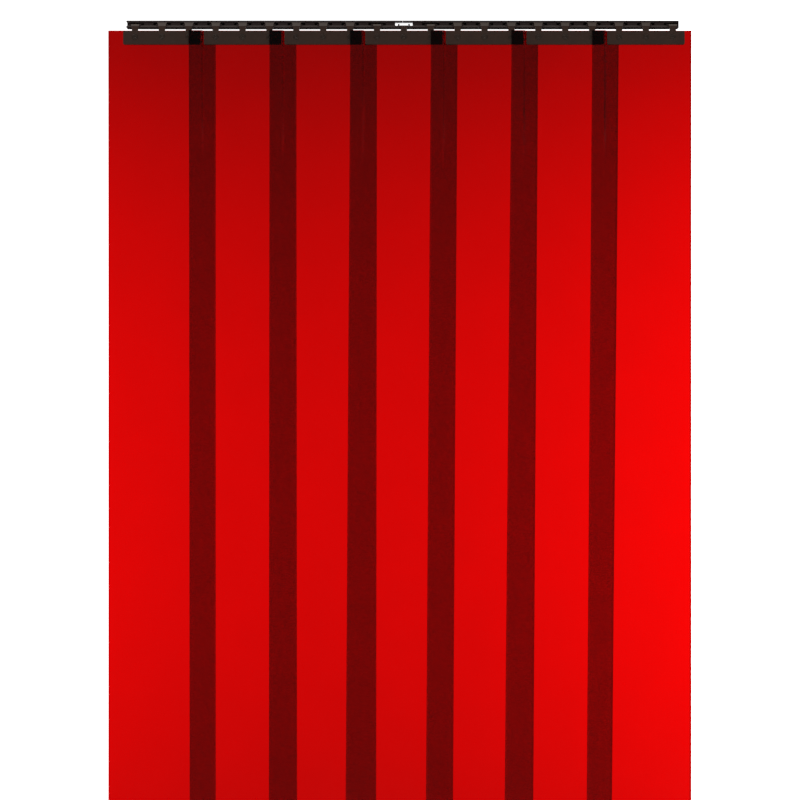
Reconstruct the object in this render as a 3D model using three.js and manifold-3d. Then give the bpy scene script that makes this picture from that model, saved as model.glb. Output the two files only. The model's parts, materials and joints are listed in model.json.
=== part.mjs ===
// Hook-on strip curtain for a welding bay.
// Seven tinted PVC strips overlap like shingles under a moulded header rail.
// Each strip is riveted between two plates, and the front plate hooks over a round bar in the rail.
//
// Millimetres. X runs along the rail, to the right for someone in front of the curtain.
// Y points back to the wall, and Z points up.
// The origin is on the wall face of the rail, behind the axis of the hook bar, at mid curtain.

import * as THREE from "three";
import { mergeVertices } from "three/addons/utils/BufferGeometryUtils.js";
import Module from "manifold-3d";

const wasm = await Module();
wasm.setup();

// ---- Driving dimensions ----

// Strips
const STRIP_COUNT = 7;
const STRIP_WIDTH = 200;
const LAST_STRIP_WIDTH = 185; // the last strip is trimmed on its free edge
const STRIP_THICKNESS = 2;
const STRIP_LENGTH = 2000;
const SHINGLE_GAP = 0.8; // air between two strips where they overlap, low down
const RELAX_LENGTH = 300; // below the plates, the length in which a strip's margins ease flat
const RELAX_STEPS = 5;
const BEND_RADIUS = 2.5; // of the strip's middle line, where it leaves its plates
const BEND_STEPS = 3;
const SLANT_DEG = 70; // of a margin where it passes between two plates

// Hook grid
const HOOK_PITCH = 50;
const HOOKS_PER_STRIP = 3;

// Header rail
const LEFT_OVERHANG = 16.15; // of the rail past the first hook
const RIGHT_OVERHANG = 11.15; // of the rail past the last hook
const SEAM_X = -2.5; // where the rail's two sections meet
const SEAM_GAP = 0.3;
const RAIL_HEIGHT = 13.8;
const ROOF_THICKNESS = 2.4;
const BACK_THICKNESS = 2.5;
const BAR_RADIUS = 2.35;
const BAR_SETBACK = 19.7; // from the wall face to the bar's axis
const WINDOW_WIDTH = 32.5;
const PILLAR_DEPTH = 2.85;
const PILLAR_SETBACK = 3; // of the pillars' front from the rail's front
const RIB_THICKNESS = 2.4;
const RIB_LIFT = 1.5; // the ribs end this far above the bar's axis
const END_WEB = 1.2;
const NIB_WIDTH = 3;
const NIB_HEIGHT = 2.8;
const NIB_DEPTH = 2.5;
const NIB_CLEARANCE = 0.6; // on each side of a hook
const NIB_SETBACK = 0.35; // of the nibs' front from the rail's front

// Clamp plates
const FRONT_PLATE_THICKNESS = 3.8;
const BACK_PLATE_THICKNESS = 2.8;
const PLATE_HEIGHT = 25.3;
const PLATE_DROP = 7.85; // from the bar's axis to the plates' top edge
const PLATE_SPACING = 5.8; // between neighbouring plates
const PLATE_CORNER = 2.5;
const PLATE_GAP = 0.3; // between a plate and its strip
const STRIP_ABOVE_PLATE = 0.9;
const MARGIN_CLEARANCE = 0.5; // between a strip's margin and the plate that it passes

// Hooks
const HOOK_CLEARANCE = 0.35; // round the bar
const HOOK_THICKNESS = 2.4;
const HOOK_TAIL_DEG = 25; // how far the hook reaches below the axis behind the bar
const HOOK_WIDTH = 15;
const HOOK_ROOT = 3.2; // how far a neck reaches down into its plate
const NECK_WIDTH = 11.7;
const TAB_WIDTH = 19;
const TAB_CLEARANCE = 0.5; // between the turning tab and the roof
const TAB_FOOT_DEG = [154, 83]; // the span of the curl that the tab grows from
const TAB_BITE = 0.3; // how far the tab's foot is sunk in the curl
const TAB_TIP = [-1.5, -0.2]; // the tab's tip, from the bar's axis

// Rivets
const RIVET_DROP = 19.05; // from the bar's axis
const RIVET_RADIUS = 2.9;
const RIVET_HEAD_RADIUS = 5.5;
const RIVET_HEAD_THICKNESS = 1.3;
const RIVET_TAIL_RADIUS = 4.2;
const RIVET_TAIL_THICKNESS = 1;
const RIVET_CLEARANCE = 0.3;

// Fixing screws
const SCREW_RADIUS = 2.1;
const SCREW_LENGTH = 38;
const SCREW_TIP = 6;
const SCREW_HEAD_RADIUS = 3.8;
const SCREW_HEAD_HEIGHT = 2.8;
const SCREW_CLEARANCE = 0.3;
const SCREW_TO_ROOF = 0.4;
const SCREW_HEAD_STEPS = 3;

// How finely round shapes are cut. A curve in an outline gets twice this number of sides.
const ROUND_SEGMENTS = 12;
const BAR_SEGMENTS = 8;
const HOOK_SEGMENTS = 5;
const CORNER_SEGMENTS = 2;

const OVERSHOOT = 1; // how far a cutting solid stands past what it cuts

// ---- Sizes that follow ----

const STRIP_PITCH = HOOK_PITCH * HOOKS_PER_STRIP;
const HOOK_COUNT = STRIP_COUNT * HOOKS_PER_STRIP;
const MIDDLE = (STRIP_COUNT - 1) / 2;

const HOOK_INNER = BAR_RADIUS + HOOK_CLEARANCE;
const HOOK_OUTER = HOOK_INNER + HOOK_THICKNESS;

const RAIL_FRONT = -BAR_SETBACK - BAR_RADIUS;
const RAIL_TOP = RAIL_HEIGHT - BAR_RADIUS;
const ROOF_UNDERSIDE = RAIL_TOP - ROOF_THICKNESS;
const TAB_REACH = ROOF_UNDERSIDE - TAB_CLEARANCE;
const NIB_TOP = BAR_RADIUS + NIB_HEIGHT;

// Y of the plates' faces, counted from the strip's middle.
const INNER_FACE = STRIP_THICKNESS / 2 + PLATE_GAP;
const FRONT_FACE = -(INNER_FACE + FRONT_PLATE_THICKNESS);
const BACK_FACE = INNER_FACE + BACK_PLATE_THICKNESS;

// The hook's front is flush with the front plate, so the strip hangs this far behind the bar's axis.
const STRIP_OFFSET = -HOOK_OUTER - FRONT_FACE;

const PLATE_TOP = -PLATE_DROP;
const PLATE_BOTTOM = PLATE_TOP - PLATE_HEIGHT;
const STRIP_TOP = PLATE_TOP + STRIP_ABOVE_PLATE;

const FRONT_MARGIN_Y = FRONT_FACE - MARGIN_CLEARANCE - STRIP_THICKNESS / 2;
const BACK_MARGIN_Y = BACK_FACE + MARGIN_CLEARANCE + STRIP_THICKNESS / 2;

const SCREW_Z = ROOF_UNDERSIDE - SCREW_TO_ROOF - SCREW_HEAD_RADIUS;

const SLANT = THREE.MathUtils.degToRad(SLANT_DEG);

// ---- Materials ----

function plastic(name) {
  return new THREE.MeshStandardMaterial({ name, color: 0x35292a, roughness: 0.55, metalness: 0 });
}

function tintedPvc() {
  return new THREE.MeshStandardMaterial({
    name: "tinted_pvc",
    color: 0xd80402,
    roughness: 0.2,
    metalness: 0,
    transparent: true,
    opacity: 0.8,
  });
}

function zincPlate() {
  return new THREE.MeshStandardMaterial({
    name: "yellow_zinc",
    color: 0xc9a24a,
    roughness: 0.35,
    metalness: 0.9,
  });
}

// ---- Solids ----

function solidOf(geometry) {
  const bare = geometry.index ? geometry.toNonIndexed() : geometry.clone();
  bare.deleteAttribute("normal");
  bare.deleteAttribute("uv");
  const merged = mergeVertices(bare, 1e-4);
  const mesh = new wasm.Mesh({
    numProp: 3,
    vertProperties: new Float32Array(merged.attributes.position.array),
    triVerts: new Uint32Array(merged.index.array),
  });
  return new wasm.Manifold(mesh);
}

function geometryOf(solid) {
  const mesh = solid.getMesh();
  const geometry = new THREE.BufferGeometry();
  geometry.setAttribute("position", new THREE.BufferAttribute(new Float32Array(mesh.vertProperties), 3));
  geometry.setIndex(new THREE.BufferAttribute(new Uint32Array(mesh.triVerts), 1));
  geometry.computeVertexNormals();
  return geometry;
}

const AXIS_X = new THREE.Vector3(1, 0, 0);
const AXIS_Y = new THREE.Vector3(0, 1, 0);
const AXIS_Z = new THREE.Vector3(0, 0, 1);

function extruded(shape, depth, curveSegments) {
  return new THREE.ExtrudeGeometry(shape, { depth, bevelEnabled: false, curveSegments });
}

// A (y, z) outline, extruded from x = from to x = to.
function alongX(shape, from, to, segments) {
  const turn = new THREE.Matrix4().makeBasis(AXIS_Y, AXIS_Z, AXIS_X);
  const geometry = extruded(shape, to - from, segments).applyMatrix4(turn);
  return solidOf(geometry.translate(from, 0, 0));
}

// An (x, z) outline, extruded from y = from to y = to.
function alongY(shape, from, to, segments) {
  const turn = new THREE.Matrix4().makeBasis(AXIS_X, AXIS_Z, AXIS_Y.clone().negate());
  const geometry = extruded(shape, to - from, segments).applyMatrix4(turn);
  return solidOf(geometry.translate(0, to, 0));
}

// An (x, y) outline, extruded from z = from to z = to.
function alongZ(shape, from, to) {
  return solidOf(extruded(shape, to - from, 1).translate(0, 0, from));
}

function block(x0, x1, y0, y1, z0, z1) {
  const box = new THREE.BoxGeometry(x1 - x0, y1 - y0, z1 - z0);
  return solidOf(box.translate((x0 + x1) / 2, (y0 + y1) / 2, (z0 + z1) / 2));
}

function roundHole(radius, x, z, y0, y1) {
  const cylinder = new THREE.CylinderGeometry(radius, radius, y1 - y0, ROUND_SEGMENTS);
  return solidOf(cylinder.translate(x, (y0 + y1) / 2, z));
}

function polygon(points) {
  return new THREE.Shape(points.map(([u, v]) => new THREE.Vector2(u, v)));
}

function roundedRectangle(x0, x1, z0, z1, radius) {
  const shape = new THREE.Shape();
  shape.moveTo(x0 + radius, z0);
  shape.lineTo(x1 - radius, z0);
  shape.absarc(x1 - radius, z0 + radius, radius, -Math.PI / 2, 0);
  shape.lineTo(x1, z1 - radius);
  shape.absarc(x1 - radius, z1 - radius, radius, 0, Math.PI / 2);
  shape.lineTo(x0 + radius, z1);
  shape.absarc(x0 + radius, z1 - radius, radius, Math.PI / 2, Math.PI);
  shape.lineTo(x0, z0 + radius);
  shape.absarc(x0 + radius, z0 + radius, radius, Math.PI, Math.PI * 1.5);
  return shape;
}

// A closed skin over a stack of rings, which all have the same number of points.
function loft(rings) {
  const count = rings[0].length;
  const positions = rings.flat().flatMap((p) => [p.x, p.y, p.z]);
  const faces = [];
  for (let level = 0; level + 1 < rings.length; level++) {
    for (let i = 0; i < count; i++) {
      const j = (i + 1) % count;
      const upper = level * count;
      const lower = upper + count;
      faces.push(upper + i, lower + i, lower + j, upper + i, lower + j, upper + j);
    }
  }
  const cap = (ring) => {
    const outline = ring.map((p) => new THREE.Vector2(p.x, p.y));
    return THREE.ShapeUtils.triangulateShape(outline, []);
  };
  for (const [a, b, c] of cap(rings[0])) {
    faces.push(a, b, c);
  }
  const last = (rings.length - 1) * count;
  for (const [a, b, c] of cap(rings.at(-1))) {
    faces.push(last + a, last + c, last + b);
  }
  const geometry = new THREE.BufferGeometry();
  geometry.setAttribute("position", new THREE.Float32BufferAttribute(positions, 3));
  geometry.setIndex(faces);
  return geometry;
}

function mesh(name, geometry, material) {
  const made = new THREE.Mesh(geometry, material);
  made.name = name;
  return made;
}

// ---- Header rail ----

function hookX(number) {
  return (number - (HOOK_COUNT - 1) / 2) * HOOK_PITCH;
}

const HOOKS = Array.from({ length: HOOK_COUNT }, (_, number) => hookX(number));
const SECTION_SPANS = [
  [HOOKS[0] - LEFT_OVERHANG, SEAM_X - SEAM_GAP / 2],
  [SEAM_X + SEAM_GAP / 2, HOOKS.at(-1) + RIGHT_OVERHANG],
];

// Each section has a screw behind the first and the last hook that it carries whole.
function screwPlaces([start, end]) {
  const half = HOOK_WIDTH / 2;
  const whole = HOOKS.filter((x) => x - half >= start && x + half <= end);
  return [whole[0], whole.at(-1)];
}

// The hook over the rail's seam would catch both sections, so it is only a tongue.
function crossesSeam(x) {
  return Math.abs(x - SEAM_X) < HOOK_WIDTH / 2;
}

function nibs(x) {
  const inner = HOOK_WIDTH / 2 + NIB_CLEARANCE;
  const front = RAIL_FRONT + NIB_SETBACK;
  return [-1, 1].map((side) => {
    const near = x + side * inner;
    const far = near + side * NIB_WIDTH;
    return block(Math.min(near, far), Math.max(near, far), front, front + NIB_DEPTH, 0, NIB_TOP);
  });
}

// The rail's profile is a back wall, a roof and a round hook bar.
// Between the hook windows, pillars under the roof carry the bar, and a rib ties each to the wall.
// The back wall has a window of its own behind the seam.
function railSection([start, end], hasEndWeb) {
  const bar = new THREE.Shape();
  bar.absarc(-BAR_SETBACK, 0, BAR_RADIUS, 0, Math.PI * 2);
  let rail = block(start, end, -BACK_THICKNESS, 0, -BAR_RADIUS, RAIL_TOP)
    .add(block(start, end, RAIL_FRONT, 0, ROOF_UNDERSIDE, RAIL_TOP))
    .add(alongX(bar, start, end, BAR_SEGMENTS));
  const pillarHalf = (HOOK_PITCH - WINDOW_WIDTH) / 2;
  for (const x of HOOKS.map((hook) => hook + HOOK_PITCH / 2)) {
    if (x - pillarHalf > start && x + pillarHalf < end) {
      const face = RAIL_FRONT + PILLAR_SETBACK;
      const pillar = block(x - pillarHalf, x + pillarHalf, face, face + PILLAR_DEPTH, 0, RAIL_TOP);
      const ribHalf = RIB_THICKNESS / 2;
      const rib = block(x - ribHalf, x + ribHalf, face, 0, RIB_LIFT, RAIL_TOP);
      rail = rail.add(pillar).add(rib);
    }
  }
  for (const nib of HOOKS.flatMap(nibs)) {
    rail = rail.add(nib);
  }
  if (hasEndWeb) {
    rail = rail.add(block(end - END_WEB, end, RAIL_FRONT, 0, RIB_LIFT, RAIL_TOP));
  }
  const inFrontOfWall = -BACK_THICKNESS - OVERSHOOT;
  for (const x of HOOKS.filter(crossesSeam)) {
    const half = WINDOW_WIDTH / 2;
    rail = rail.subtract(block(x - half, x + half, inFrontOfWall, OVERSHOOT, BAR_RADIUS, ROOF_UNDERSIDE));
  }
  for (const x of screwPlaces([start, end])) {
    rail = rail.subtract(roundHole(SCREW_RADIUS + SCREW_CLEARANCE, x, SCREW_Z, inFrontOfWall, OVERSHOOT));
  }
  return rail.intersect(block(start, end, RAIL_FRONT, 0, -BAR_RADIUS, RAIL_TOP));
}

// ---- Fixing screw ----

function fixingScrew() {
  const under = -BACK_THICKNESS - SCREW_CLEARANCE;
  const head = Array.from({ length: SCREW_HEAD_STEPS + 1 }, (_, i) => {
    const angle = ((i / SCREW_HEAD_STEPS) * Math.PI) / 2;
    return [SCREW_HEAD_RADIUS * Math.sin(angle), under - SCREW_HEAD_HEIGHT * Math.cos(angle)];
  });
  const shank = [
    [SCREW_RADIUS, under],
    [SCREW_RADIUS, under + SCREW_LENGTH - SCREW_TIP],
    [0, under + SCREW_LENGTH],
  ];
  return turnedAlongY([...head, ...shank]);
}

// A solid of revolution about Y from a profile of (radius, y) pairs.
function turnedAlongY(profile) {
  const points = profile.map(([radius, y]) => new THREE.Vector2(radius, y));
  return solidOf(new THREE.LatheGeometry(points, ROUND_SEGMENTS));
}

// ---- Clamp plates ----

// A strip's margin slants through the gap between two plates, and passes the middle of the gap half
// way through the plate, at y = faceMiddle. This is the x of its middle line at a given y.
function slant(side, faceMiddle, y) {
  return (side * STRIP_PITCH) / 2 + (y - faceMiddle) / Math.tan(SLANT);
}

// Neighbouring plates stand apart, so that the margins pass between them.
function plateBlank(nearFace, farFace) {
  const half = (STRIP_PITCH - PLATE_SPACING) / 2;
  const fromFront = roundedRectangle(-half, half, PLATE_BOTTOM, PLATE_TOP, PLATE_CORNER);
  return alongY(fromFront, Math.min(nearFace, farFace), Math.max(nearFace, farFace), CORNER_SEGMENTS);
}

// The hooks of one strip, from its middle.
const LOCAL_HOOKS = Array.from({ length: HOOKS_PER_STRIP }, (_, i) => {
  return (i - (HOOKS_PER_STRIP - 1) / 2) * HOOK_PITCH;
});

// The hook, seen from the side: a neck in front of the bar, and a curl over it and down behind.
function hookSide() {
  const tail = THREE.MathUtils.degToRad(-HOOK_TAIL_DEG);
  const foot = PLATE_TOP - HOOK_ROOT;
  const shape = new THREE.Shape();
  shape.moveTo(-HOOK_OUTER, foot);
  shape.lineTo(-HOOK_OUTER, 0);
  shape.absarc(0, 0, HOOK_OUTER, Math.PI, tail, true);
  shape.lineTo(HOOK_INNER * Math.cos(tail), HOOK_INNER * Math.sin(tail));
  shape.absarc(0, 0, HOOK_INNER, tail, Math.PI, false);
  shape.lineTo(-HOOK_INNER, foot);
  return shape;
}

// The finger tab on the hook's crown. It leans back, so that it turns clear of the roof.
function tabSide() {
  const foot = TAB_FOOT_DEG.map((degrees) => {
    const angle = THREE.MathUtils.degToRad(degrees);
    const radius = HOOK_OUTER - TAB_BITE;
    return [radius * Math.cos(angle), radius * Math.sin(angle)];
  });
  const tip = TAB_TIP.map((y) => [y, TAB_REACH]).reverse();
  return polygon([...foot, ...tip]);
}

// The hook, seen from the front: a neck that widens to the curl, and a tab that flares above it.
function hookFront(x) {
  const half = [
    [NECK_WIDTH / 2, PLATE_TOP - HOOK_ROOT],
    [NECK_WIDTH / 2, -BAR_RADIUS],
    [HOOK_WIDTH / 2, BAR_RADIUS / 2],
    [HOOK_WIDTH / 2, NIB_TOP + HOOK_CLEARANCE],
    [TAB_WIDTH / 2, TAB_REACH],
  ];
  const right = half.map(([u, v]) => [x + u, v]);
  const left = half.map(([u, v]) => [x - u, v]).reverse();
  return polygon([...right, ...left]);
}

function hook(x, hasTab) {
  const half = TAB_WIDTH / 2;
  const curl = alongX(hookSide(), x - half, x + half, HOOK_SEGMENTS);
  const side = hasTab ? curl.add(alongX(tabSide(), x - half, x + half)) : curl;
  return side.intersect(alongY(hookFront(x), -HOOK_OUTER - OVERSHOOT, HOOK_OUTER + OVERSHOOT));
}

// At the rail's seam the hook is cut off level with the top of the bar, in front of it.
function tongue(x) {
  const half = HOOK_WIDTH / 2;
  const front = block(x - half, x + half, -HOOK_OUTER, 0, PLATE_TOP - HOOK_ROOT, BAR_RADIUS);
  return hook(x, false).intersect(front);
}

// A hook in front of a fixing screw has no tab, so that the screw's head can be seen and reached.
function isOverScrew(x) {
  return SECTION_SPANS.flatMap(screwPlaces).includes(x);
}

function frontPlate(middleX) {
  const place = (solid) => solid.translate([0, STRIP_OFFSET, 0]);
  const front = FRONT_FACE - OVERSHOOT;
  const sink = FRONT_FACE + RIVET_HEAD_THICKNESS + RIVET_CLEARANCE;
  let plate = place(plateBlank(-INNER_FACE, FRONT_FACE));
  for (const x of LOCAL_HOOKS) {
    const shank = roundHole(RIVET_RADIUS + RIVET_CLEARANCE, x, -RIVET_DROP, front, 0);
    const seat = roundHole(RIVET_HEAD_RADIUS + RIVET_CLEARANCE, x, -RIVET_DROP, front, sink);
    plate = plate.add(crossesSeam(middleX + x) ? tongue(x) : hook(x, !isOverScrew(middleX + x)));
    plate = plate.subtract(place(shank)).subtract(place(seat));
  }
  return plate;
}

function backPlate() {
  const back = BACK_FACE + OVERSHOOT;
  const sink = BACK_FACE - RIVET_TAIL_THICKNESS - RIVET_CLEARANCE;
  let plate = plateBlank(INNER_FACE, BACK_FACE);
  for (const x of LOCAL_HOOKS) {
    const shank = roundHole(RIVET_RADIUS + RIVET_CLEARANCE, x, -RIVET_DROP, 0, back);
    const seat = roundHole(RIVET_TAIL_RADIUS + RIVET_CLEARANCE, x, -RIVET_DROP, sink, back);
    plate = plate.subtract(shank).subtract(seat);
  }
  return plate.translate([0, STRIP_OFFSET, 0]);
}

// A rivet through both plates and the strip. Its head and its tail lie flush in the plates.
function rivet() {
  const profile = [
    [0, FRONT_FACE],
    [RIVET_HEAD_RADIUS, FRONT_FACE],
    [RIVET_HEAD_RADIUS, FRONT_FACE + RIVET_HEAD_THICKNESS],
    [RIVET_RADIUS, FRONT_FACE + RIVET_HEAD_THICKNESS],
    [RIVET_RADIUS, BACK_FACE - RIVET_TAIL_THICKNESS],
    [RIVET_TAIL_RADIUS, BACK_FACE - RIVET_TAIL_THICKNESS],
    [RIVET_TAIL_RADIUS, BACK_FACE],
    [0, BACK_FACE],
  ];
  return turnedAlongY(profile).translate([0, STRIP_OFFSET, 0]);
}

// ---- Strips ----

// The middle line of a strip between its plates, as points of x, y and the line's angle to X.
// Where a neighbour's plate is, the margin bends past it, forward on the left and back on the right.
function clampedLine(left, right, bendsLeft, bendsRight) {
  const bend = (side, faceMiddle, marginY) => {
    const inner = slant(side, faceMiddle, 0);
    const outer = slant(side, faceMiddle, marginY);
    const reach = BEND_RADIUS * Math.tan(SLANT / 2);
    const angles = Array.from({ length: BEND_STEPS + 1 }, (_, i) => (i / BEND_STEPS) * SLANT);
    const run = (angle) => side * (BEND_RADIUS * Math.sin(angle) - reach);
    const rise = (angle) => side * BEND_RADIUS * (1 - Math.cos(angle));
    const first = angles.map((angle) => [inner + run(angle), rise(angle), angle]);
    const second = angles.map((angle) => [outer - run(angle), marginY - rise(angle), angle]);
    return [...first, ...second.reverse()];
  };
  const frontMiddle = (-INNER_FACE + FRONT_FACE) / 2;
  const backMiddle = (INNER_FACE + BACK_FACE) / 2;
  const line = [];
  line.push([left, bendsLeft ? FRONT_MARGIN_Y : 0, 0]);
  line.push(...(bendsLeft ? bend(-1, frontMiddle, FRONT_MARGIN_Y).reverse() : []));
  line.push(...(bendsRight ? bend(1, backMiddle, BACK_MARGIN_Y) : []));
  line.push([right, bendsRight ? BACK_MARGIN_Y : 0, 0]);
  return line;
}

// The strip's outline seen from above, at one level. ease is 1 between the plates and 0 low down,
// where the strip hangs flat, turned a little so that it lies behind one neighbour and before the other.
function stripRing(line, ease, z) {
  const turn = Math.atan2(STRIP_THICKNESS + SHINGLE_GAP, STRIP_PITCH);
  const side = (sign) =>
    line.map(([x, y, tilt]) => {
      const angle = tilt * ease + turn * (1 - ease);
      const middle = y * ease + x * Math.tan(turn) * (1 - ease);
      const half = (sign * STRIP_THICKNESS) / 2;
      const faceX = x - Math.sin(angle) * half;
      const faceY = middle + Math.cos(angle) * half + STRIP_OFFSET;
      return new THREE.Vector3(faceX, faceY, z);
    });
  return [...side(-1), ...side(1).reverse()];
}

function strip(left, right, bendsLeft, bendsRight) {
  const line = clampedLine(left, right, bendsLeft, bendsRight);
  const rings = [stripRing(line, 1, STRIP_TOP)];
  for (let i = 0; i <= RELAX_STEPS; i++) {
    const share = i / RELAX_STEPS;
    const ease = 1 - THREE.MathUtils.smoothstep(share, 0, 1);
    rings.push(stripRing(line, ease, PLATE_BOTTOM - share * RELAX_LENGTH));
  }
  rings.push(stripRing(line, 0, STRIP_TOP - STRIP_LENGTH));
  const radius = RIVET_RADIUS + RIVET_CLEARANCE;
  let sheet = solidOf(loft(rings));
  for (const x of LOCAL_HOOKS) {
    const hole = roundHole(radius, x, -RIVET_DROP, -STRIP_THICKNESS, STRIP_THICKNESS);
    sheet = sheet.subtract(hole.translate([0, STRIP_OFFSET, 0]));
  }
  return sheet;
}

// ---- The curtain ----

function headerRail() {
  const rail = new THREE.Group();
  const [left, right] = SECTION_SPANS;
  rail.add(mesh("rail_section_left", geometryOf(railSection(left, false)), plastic("rail_plastic")));
  rail.add(mesh("rail_section_right", geometryOf(railSection(right, true)), plastic("rail_plastic")));
  const screw = geometryOf(fixingScrew());
  SECTION_SPANS.flatMap(screwPlaces).forEach((x, i) => {
    const placed = mesh(`fixing_screw_${i + 1}`, screw, zincPlate());
    placed.position.set(x, 0, SCREW_Z);
    rail.add(placed);
  });
  return rail;
}

function hungStrip(number, parts) {
  const first = number === 1;
  const last = number === STRIP_COUNT;
  const middleX = (number - 1 - MIDDLE) * STRIP_PITCH;
  const hung = new THREE.Group();
  const right = -STRIP_WIDTH / 2 + (last ? LAST_STRIP_WIDTH : STRIP_WIDTH);
  const sheet = geometryOf(strip(-STRIP_WIDTH / 2, right, !first, !last));
  const front = geometryOf(frontPlate(middleX));
  hung.add(mesh(`front_plate_${number}`, front, plastic("plate_plastic")));
  hung.add(mesh(`back_plate_${number}`, parts.backPlate, plastic("plate_plastic")));
  hung.add(mesh(`strip_${number}`, sheet, tintedPvc()));
  LOCAL_HOOKS.forEach((x, i) => {
    const placed = mesh(`rivet_${number}_${i + 1}`, parts.rivet, plastic("rivet_plastic"));
    placed.position.set(x, 0, -RIVET_DROP);
    hung.add(placed);
  });
  hung.position.set(middleX, -BAR_SETBACK, 0);
  return hung;
}

const group = new THREE.Group();
group.name = "welding_strip_curtain";
group.add(headerRail());
const parts = {
  backPlate: geometryOf(backPlate()),
  rivet: geometryOf(rivet()),
};
for (let number = 1; number <= STRIP_COUNT; number++) {
  group.add(hungStrip(number, parts));
}

export default group;
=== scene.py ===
"""Finishes for a hook-on welding strip curtain, laid out as an add-on and run as a script.

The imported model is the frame. Its rail, plates, rivets, screws and strips are made again here with
fine surfaces, in the same places and sizes, and each rides on the body that it belongs to.
"""

import json
import math

import bmesh
import bpy
import numpy as np
from bpy.props import FloatProperty, PointerProperty, StringProperty
from mathutils import Matrix, Vector


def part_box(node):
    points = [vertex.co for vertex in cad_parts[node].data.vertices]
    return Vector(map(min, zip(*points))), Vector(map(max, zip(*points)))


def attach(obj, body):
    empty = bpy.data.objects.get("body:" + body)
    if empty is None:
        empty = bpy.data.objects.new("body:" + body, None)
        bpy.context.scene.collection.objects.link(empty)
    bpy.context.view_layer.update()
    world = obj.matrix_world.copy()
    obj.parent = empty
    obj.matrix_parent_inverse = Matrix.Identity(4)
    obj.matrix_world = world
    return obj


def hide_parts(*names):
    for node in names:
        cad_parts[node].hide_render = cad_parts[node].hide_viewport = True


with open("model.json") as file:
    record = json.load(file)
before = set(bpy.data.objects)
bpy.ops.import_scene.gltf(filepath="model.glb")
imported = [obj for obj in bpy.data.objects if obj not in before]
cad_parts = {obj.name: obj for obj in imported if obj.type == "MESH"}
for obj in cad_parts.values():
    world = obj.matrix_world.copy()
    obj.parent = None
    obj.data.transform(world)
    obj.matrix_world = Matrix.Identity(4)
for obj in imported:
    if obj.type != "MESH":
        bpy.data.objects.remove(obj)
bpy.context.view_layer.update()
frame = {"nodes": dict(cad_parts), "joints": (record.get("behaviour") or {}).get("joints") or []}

bl_info = {
    "name": "Welding strip curtain",
    "version": (1, 0, 0),
    "blender": (4, 5, 0),
    "location": "3D View > Sidebar > Curtain",
    "description": "Builds the finished pieces of a hook-on welding strip curtain around its frame",
    "category": "Object",
}

MM = 0.001

# ---- Sizes that the frame gives, in millimetres ----

JOINTS = {joint["child"]: joint["pos_m"] for joint in frame["joints"]}
STRIP_COUNT = len(JOINTS)
BAR_Y = JOINTS["hung_strip_4"][1] / MM
STRIP_PITCH = (JOINTS["hung_strip_5"][0] - JOINTS["hung_strip_4"][0]) / MM


def corners(node):
    """The lowest and highest corners of a frame node, in millimetres."""
    low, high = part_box(node)
    return low / MM, high / MM


PLATE_LOW, PLATE_HIGH = corners("front_plate_4")
BACK_LOW, BACK_HIGH = corners("back_plate_4")
RIVET_LOW, RIVET_HIGH = corners("rivet_4_2")
STRIP_LOW, STRIP_HIGH = corners("strip_4")
RAIL_LEFT = corners("rail_section_left")
RAIL_RIGHT = corners("rail_section_right")
TABBED_PLATE_HIGH = corners("front_plate_2")[1]
SCREWS = {name: corners(name) for name in sorted(frame["nodes"]) if name.startswith("fixing_screw")}

# ---- Sizes of what the boxes don't show, in millimetres ----

HOOK_PITCH = 50
HOOKS_PER_STRIP = 3
BAR_RADIUS = 2.35
HOOK_CLEARANCE = 0.35
HOOK_THICKNESS = 2.4
HOOK_TAIL_DEG = 25
HOOK_WIDTH = 15
HOOK_ROOT = 3.2
NECK_WIDTH = 11.7
TAB_WIDTH = 19
TAB_FOOT_DEG = (154, 83)
TAB_BITE = 0.3
TAB_TIP = (-1.5, -0.2)

ROOF_THICKNESS = 2.4
BACK_THICKNESS = 2.5
WINDOW_WIDTH = 32.5
PILLAR_DEPTH = 2.85
PILLAR_SETBACK = 3
RIB_THICKNESS = 2.4
RIB_LIFT = 1.5
END_WEB = 1.2
NIB_WIDTH = 3
NIB_HEIGHT = 2.8
NIB_DEPTH = 2.5
NIB_CLEARANCE = 0.6
NIB_SETBACK = 0.35

STRIP_THICKNESS = 2
EDGE_RADIUS = 0.35
SHINGLE_GAP = 0.8
RELAX_LENGTH = 300
BEND_RADIUS = 2.5
SLANT = math.radians(70)
PLATE_GAP = 0.3
PLATE_CORNER = 2.5
MARGIN_CLEARANCE = 0.5

RIVET_RADIUS = 2.9
RIVET_HEAD_RADIUS = 5.5
RIVET_HEAD_THICKNESS = 1.3
RIVET_TAIL_RADIUS = 4.2
RIVET_TAIL_THICKNESS = 1
RIVET_CLEARANCE = 0.3

SCREW_RADIUS = 2.1
SCREW_TIP = 6
SCREW_HEAD_RADIUS = 3.8
SCREW_HEAD_HEIGHT = 2.8
SCREW_CLEARANCE = 0.3

# ---- Sizes that follow ----

HOOK_INNER = BAR_RADIUS + HOOK_CLEARANCE
HOOK_OUTER = HOOK_INNER + HOOK_THICKNESS
INNER_FACE = STRIP_THICKNESS / 2 + PLATE_GAP
FRONT_FACE = RIVET_LOW.y - RIVET_HIGH.y + (BACK_HIGH.y - BACK_LOW.y) + INNER_FACE
BACK_FACE = INNER_FACE + (BACK_HIGH.y - BACK_LOW.y)
STRIP_OFFSET = -HOOK_OUTER - FRONT_FACE
PLATE_TOP, PLATE_BOTTOM = BACK_HIGH.z, BACK_LOW.z
STRIP_TOP, STRIP_BOTTOM = STRIP_HIGH.z, STRIP_LOW.z
RIVET_Z = (RIVET_LOW.z + RIVET_HIGH.z) / 2
TAB_REACH = TABBED_PLATE_HIGH.z
RAIL_FRONT, RAIL_BOTTOM = RAIL_LEFT[0].y, RAIL_LEFT[0].z
RAIL_TOP = RAIL_LEFT[1].z
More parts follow.
